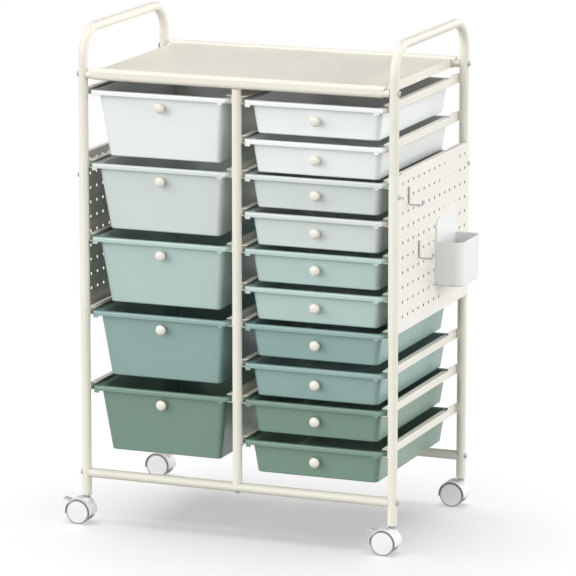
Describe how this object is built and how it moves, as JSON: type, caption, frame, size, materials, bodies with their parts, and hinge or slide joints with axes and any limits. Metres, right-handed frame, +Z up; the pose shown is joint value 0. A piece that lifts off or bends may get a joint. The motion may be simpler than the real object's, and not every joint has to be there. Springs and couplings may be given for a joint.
{
  "type": "rolling craft cart",
  "caption": "Wheeled drawer cart with a bent-tube steel frame, top shelf, deep and shallow pull-out drawers, perforated end panels, a clip-on cup and braked swivel casters.",
  "frame": {"origin": "middle of the cart's box on the floor", "axes": "+Z up, +X to the right seen from the front, the drawers open towards -Y"},
  "size_m": [0.7312, 0.419, 0.96],
  "materials": {
    "frame_cream": "smooth cream powder coat",
    "drawer_tint_1": "satin moulded plastic, cool white",
    "drawer_tint_2": "satin moulded plastic, pale mist",
    "drawer_tint_3": "satin moulded plastic, light sage",
    "drawer_tint_4": "satin moulded plastic, sage",
    "drawer_tint_5": "satin moulded plastic, moss green",
    "knob_cream": "cream moulded plastic",
    "cup_white": "satin white plastic",
    "caster_white": "white moulded plastic",
    "lever_grey": "grey moulded plastic",
    "steel": "zinc-plated steel"
  },
  "bodies": {
    "cart_frame": {"left_end_frame": "frame_cream", "right_end_frame": "frame_cream", "front_middle_post": "frame_cream", "rear_middle_post": "frame_cream", "front_bottom_tube": "frame_cream", "rear_bottom_tube": "frame_cream", "top_shelf": "frame_cream", "left_runners": "frame_cream", "right_runners": "frame_cream", "left_pegboard": "frame_cream", "right_pegboard": "frame_cream", "storage_cup": "cup_white", "peg_hooks": "steel", "frame_screws": "steel", "caster_sockets": "caster_white", "caster_stems": "steel"},
    "large_drawer_body_1": {"large_drawer_1": "drawer_tint_1", "large_knob_1": "knob_cream"},
    "large_drawer_body_2": {"large_drawer_2": "drawer_tint_2", "large_knob_2": "knob_cream"},
    "large_drawer_body_3": {"large_drawer_3": "drawer_tint_3", "large_knob_3": "knob_cream"},
    "large_drawer_body_4": {"large_drawer_4": "drawer_tint_4", "large_knob_4": "knob_cream"},
    "large_drawer_body_5": {"large_drawer_5": "drawer_tint_5", "large_knob_5": "knob_cream"},
    "small_drawer_body_1": {"small_drawer_1": "drawer_tint_1", "small_knob_1": "knob_cream"},
    "small_drawer_body_2": {"small_drawer_2": "drawer_tint_1", "small_knob_2": "knob_cream"},
    "small_drawer_body_3": {"small_drawer_3": "drawer_tint_2", "small_knob_3": "knob_cream"},
    "small_drawer_body_4": {"small_drawer_4": "drawer_tint_2", "small_knob_4": "knob_cream"},
    "small_drawer_body_5": {"small_drawer_5": "drawer_tint_3", "small_knob_5": "knob_cream"},
    "small_drawer_body_6": {"small_drawer_6": "drawer_tint_3", "small_knob_6": "knob_cream"},
    "small_drawer_body_7": {"small_drawer_7": "drawer_tint_4", "small_knob_7": "knob_cream"},
    "small_drawer_body_8": {"small_drawer_8": "drawer_tint_4", "small_knob_8": "knob_cream"},
    "small_drawer_body_9": {"small_drawer_9": "drawer_tint_5", "small_knob_9": "knob_cream"},
    "small_drawer_body_10": {"small_drawer_10": "drawer_tint_5", "small_knob_10": "knob_cream"},
    "front_left_caster": {"front_left_caster_hood": "caster_white"},
    "front_left_wheel_body_a": {"front_left_wheel_a": "caster_white"},
    "front_left_wheel_body_b": {"front_left_wheel_b": "caster_white"},
    "front_left_brake": {"front_left_brake_lever": "lever_grey"},
    "front_right_caster": {"front_right_caster_hood": "caster_white"},
    "front_right_wheel_body_a": {"front_right_wheel_a": "caster_white"},
    "front_right_wheel_body_b": {"front_right_wheel_b": "caster_white"},
    "front_right_brake": {"front_right_brake_lever": "lever_grey"},
    "rear_left_caster": {"rear_left_caster_hood": "caster_white"},
    "rear_left_wheel_body_a": {"rear_left_wheel_a": "caster_white"},
    "rear_left_wheel_body_b": {"rear_left_wheel_b": "caster_white"},
    "rear_right_caster": {"rear_right_caster_hood": "caster_white"},
    "rear_right_wheel_body_a": {"rear_right_wheel_a": "caster_white"},
    "rear_right_wheel_body_b": {"rear_right_wheel_b": "caster_white"}
  },
  "joints": [
    {"name": "large_drawer_1_slide", "type": "slide", "parent": "cart_frame", "child": "large_drawer_body_1", "axis": [0, -1, 0], "range_m": [0, 0.28]},
    {"name": "large_drawer_2_slide", "type": "slide", "parent": "cart_frame", "child": "large_drawer_body_2", "axis": [0, -1, 0], "range_m": [0, 0.28]},
    {"name": "large_drawer_3_slide", "type": "slide", "parent": "cart_frame", "child": "large_drawer_body_3", "axis": [0, -1, 0], "range_m": [0, 0.28]},
    {"name": "large_drawer_4_slide", "type": "slide", "parent": "cart_frame", "child": "large_drawer_body_4", "axis": [0, -1, 0], "range_m": [0, 0.28]},
    {"name": "large_drawer_5_slide", "type": "slide", "parent": "cart_frame", "child": "large_drawer_body_5", "axis": [0, -1, 0], "range_m": [0, 0.28]},
    {"name": "small_drawer_1_slide", "type": "slide", "parent": "cart_frame", "child": "small_drawer_body_1", "axis": [0, -1, 0], "range_m": [0, 0.28]},
    {"name": "small_drawer_2_slide", "type": "slide", "parent": "cart_frame", "child": "small_drawer_body_2", "axis": [0, -1, 0], "range_m": [0, 0.28]},
    {"name": "small_drawer_3_slide", "type": "slide", "parent": "cart_frame", "child": "small_drawer_body_3", "axis": [0, -1, 0], "range_m": [0, 0.28]},
    {"name": "small_drawer_4_slide", "type": "slide", "parent": "cart_frame", "child": "small_drawer_body_4", "axis": [0, -1, 0], "range_m": [0, 0.28]},
    {"name": "small_drawer_5_slide", "type": "slide", "parent": "cart_frame", "child": "small_drawer_body_5", "axis": [0, -1, 0], "range_m": [0, 0.28]},
    {"name": "small_drawer_6_slide", "type": "slide", "parent": "cart_frame", "child": "small_drawer_body_6", "axis": [0, -1, 0], "range_m": [0, 0.28]},
    {"name": "small_drawer_7_slide", "type": "slide", "parent": "cart_frame", "child": "small_drawer_body_7", "axis": [0, -1, 0], "range_m": [0, 0.28]},
    {"name": "small_drawer_8_slide", "type": "slide", "parent": "cart_frame", "child": "small_drawer_body_8", "axis": [0, -1, 0], "range_m": [0, 0.28]},
    {"name": "small_drawer_9_slide", "type": "slide", "parent": "cart_frame", "child": "small_drawer_body_9", "axis": [0, -1, 0], "range_m": [0, 0.28]},
    {"name": "small_drawer_10_slide", "type": "slide", "parent": "cart_frame", "child": "small_drawer_body_10", "axis": [0, -1, 0], "range_m": [0, 0.28]},
    {"name": "front_left_swivel", "type": "hinge", "parent": "cart_frame", "child": "front_left_caster", "pos_m": [-0.31765, -0.192, 0.04], "axis": [0, 0, 1], "continuous": true},
    {"name": "front_left_wheel_a_spin", "type": "hinge", "parent": "front_left_caster", "child": "front_left_wheel_body_a", "pos_m": [-0.33165, -0.192, 0.0235], "axis": [0, 1, 0], "continuous": true},
    {"name": "front_left_wheel_b_spin", "type": "hinge", "parent": "front_left_caster", "child": "front_left_wheel_body_b", "pos_m": [-0.33165, -0.192, 0.0235], "axis": [0, 1, 0], "continuous": true},
    {"name": "front_left_brake_press", "type": "hinge", "parent": "front_left_caster", "child": "front_left_brake", "pos_m": [-0.34465, -0.192, 0.036], "axis": [0, -1, 0], "range_deg": [0, 12]},
    {"name": "front_right_swivel", "type": "hinge", "parent": "cart_frame", "child": "front_right_caster", "pos_m": [0.30235, -0.192, 0.04], "axis": [0, 0, 1], "continuous": true},
    {"name": "front_right_wheel_a_spin", "type": "hinge", "parent": "front_right_caster", "child": "front_right_wheel_body_a", "pos_m": [0.28835, -0.192, 0.0235], "axis": [0, 1, 0], "continuous": true},
    {"name": "front_right_wheel_b_spin", "type": "hinge", "parent": "front_right_caster", "child": "front_right_wheel_body_b", "pos_m": [0.28835, -0.192, 0.0235], "axis": [0, 1, 0], "continuous": true},
    {"name": "front_right_brake_press", "type": "hinge", "parent": "front_right_caster", "child": "front_right_brake", "pos_m": [0.27535, -0.192, 0.036], "axis": [0, -1, 0], "range_deg": [0, 12]},
    {"name": "rear_left_swivel", "type": "hinge", "parent": "cart_frame", "child": "rear_left_caster", "pos_m": [-0.31765, 0.192, 0.04], "axis": [0, 0, 1], "continuous": true},
    {"name": "rear_left_wheel_a_spin", "type": "hinge", "parent": "rear_left_caster", "child": "rear_left_wheel_body_a", "pos_m": [-0.33165, 0.192, 0.0235], "axis": [0, 1, 0], "continuous": true},
    {"name": "rear_left_wheel_b_spin", "type": "hinge", "parent": "rear_left_caster", "child": "rear_left_wheel_body_b", "pos_m": [-0.33165, 0.192, 0.0235], "axis": [0, 1, 0], "continuous": true},
    {"name": "rear_right_swivel", "type": "hinge", "parent": "cart_frame", "child": "rear_right_caster", "pos_m": [0.30235, 0.192, 0.04], "axis": [0, 0, 1], "continuous": true},
    {"name": "rear_right_wheel_a_spin", "type": "hinge", "parent": "rear_right_caster", "child": "rear_right_wheel_body_a", "pos_m": [0.28835, 0.192, 0.0235], "axis": [0, 1, 0], "continuous": true},
    {"name": "rear_right_wheel_b_spin", "type": "hinge", "parent": "rear_right_caster", "child": "rear_right_wheel_body_b", "pos_m": [0.28835, 0.192, 0.0235], "axis": [0, 1, 0], "continuous": true}
  ]
}
